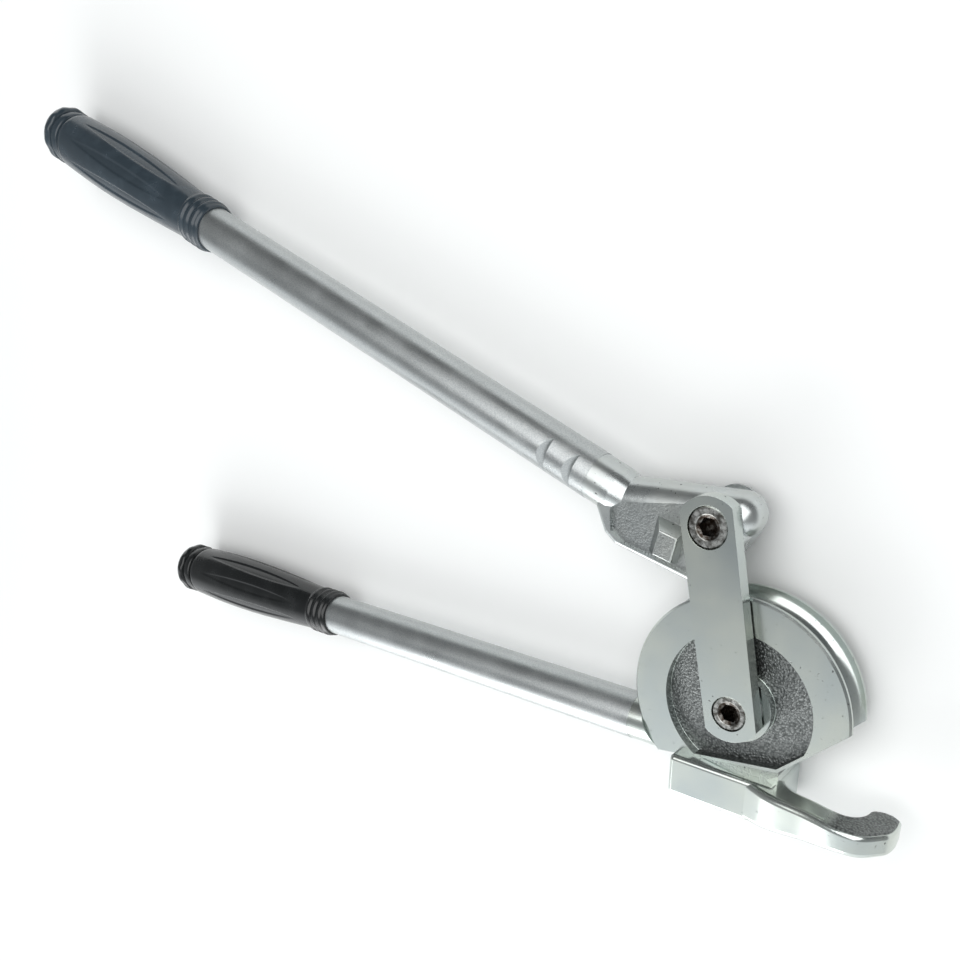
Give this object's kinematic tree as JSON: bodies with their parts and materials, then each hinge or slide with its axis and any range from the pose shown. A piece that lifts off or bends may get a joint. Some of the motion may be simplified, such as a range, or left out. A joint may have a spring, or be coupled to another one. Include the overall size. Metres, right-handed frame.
{
  "type": "lever tube bender",
  "caption": "Hand lever tube bender: grooved forming wheel with tube hook and vice block, two crimped tube handles with vinyl grips, and a swinging link carrying a hinged bending head.",
  "frame": {"origin": "bend axis, the centre of the forming wheel's hub, in the tool's middle plane", "axes": "+Z along the bend axis towards the link, -X along the wheel's own handle, +Y from that handle towards the link and lever as laid down"},
  "size_m": [0.5963, 0.3233, 0.0492],
  "materials": {
    "plated_casting": "cast, ground on the rim and faces, bright plated; rough as cast in the pockets and on the hook",
    "satin_casting": "cast, tumbled and zinc plated, rough as cast in the panels",
    "plated_tube": "drawn steel tube, satin zinc plate, fine grain",
    "plated_bar": "flat bar, ground and plated, deburred edges",
    "bolt_steel": "turned, zinc plated, dark recess",
    "washer_steel": "stamped, zinc plated",
    "bearing_bronze": "sintered bronze",
    "nylon": "natural nylon",
    "grip_slate": "dipped vinyl, dark slate grey, glossy",
    "grip_black": "dipped vinyl, near black, glossy"
  },
  "bodies": {
    "wheel_side": {"forming_wheel": "plated_casting", "wheel_handle_tube": "plated_tube", "wheel_handle_grip": "grip_black", "wheel_handle_cap": "grip_black", "hub_pivot_bush": "bearing_bronze"},
    "link": {"link": "plated_bar", "hub_pivot_bolt": "bolt_steel", "hub_front_washer": "washer_steel", "hub_rear_washer": "washer_steel", "hub_lock_nut": "bolt_steel", "hub_nut_insert": "nylon", "head_pivot_bolt": "bolt_steel", "head_front_washer": "washer_steel", "head_rear_washer": "washer_steel", "head_lock_nut": "bolt_steel", "head_nut_insert": "nylon"},
    "lever": {"bending_head": "satin_casting", "lever_handle_tube": "plated_tube", "lever_handle_grip": "grip_slate", "lever_handle_cap": "grip_slate", "head_pivot_bush": "bearing_bronze"}
  },
  "joints": [
    {"name": "link_swing", "type": "hinge", "parent": "wheel_side", "child": "link", "pos_m": [0, 0, 0], "axis": [0, 0, 1], "range_deg": [-100, 3]},
    {"name": "head_pivot", "type": "hinge", "parent": "link", "child": "lever", "pos_m": [-0.01892, 0.08901, 0], "axis": [0, 0, 1], "range_deg": [-150, 24.5]}
  ]
}
